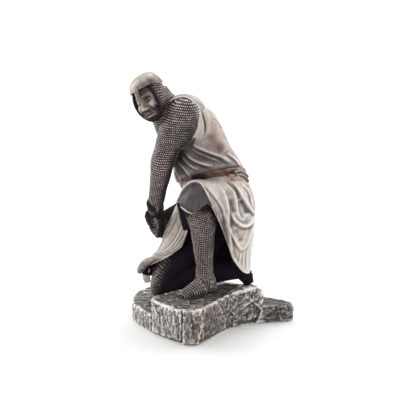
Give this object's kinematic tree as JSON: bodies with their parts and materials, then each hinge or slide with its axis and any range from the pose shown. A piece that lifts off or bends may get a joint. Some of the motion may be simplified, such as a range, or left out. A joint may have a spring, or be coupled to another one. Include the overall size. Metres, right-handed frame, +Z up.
{
  "type": "medieval knight statue",
  "caption": "Cast statuette of a kneeling medieval knight in mail, nasal helmet and surcoat, leaning on his sword on a broken rock base.",
  "frame": {"origin": "on the underside, at the middle of the bounding box in plan", "axes": "+Z up; the figure faces -X with the head turned towards -Y, the near side in the picture; +X towards the knight's back"},
  "size_m": [0.146, 0.1043, 0.2292],
  "materials": {
    "knight_patina": "cold-cast bronze patina: dark brown recesses, pale dry-brushed stone grey on cloth, silvery brown mail highlights, satin",
    "rock_patina": "mottled grey and brown stone paint with pale dry-brushed edges, matt to satin",
    "sword_patina": "dark bronze-brown metal paint, satin, paler at the edges"
  },
  "bodies": {
    "root": {"knight": "knight_patina", "rock_plinth": "rock_patina", "sword": "sword_patina"}
  },
  "joints": []
}
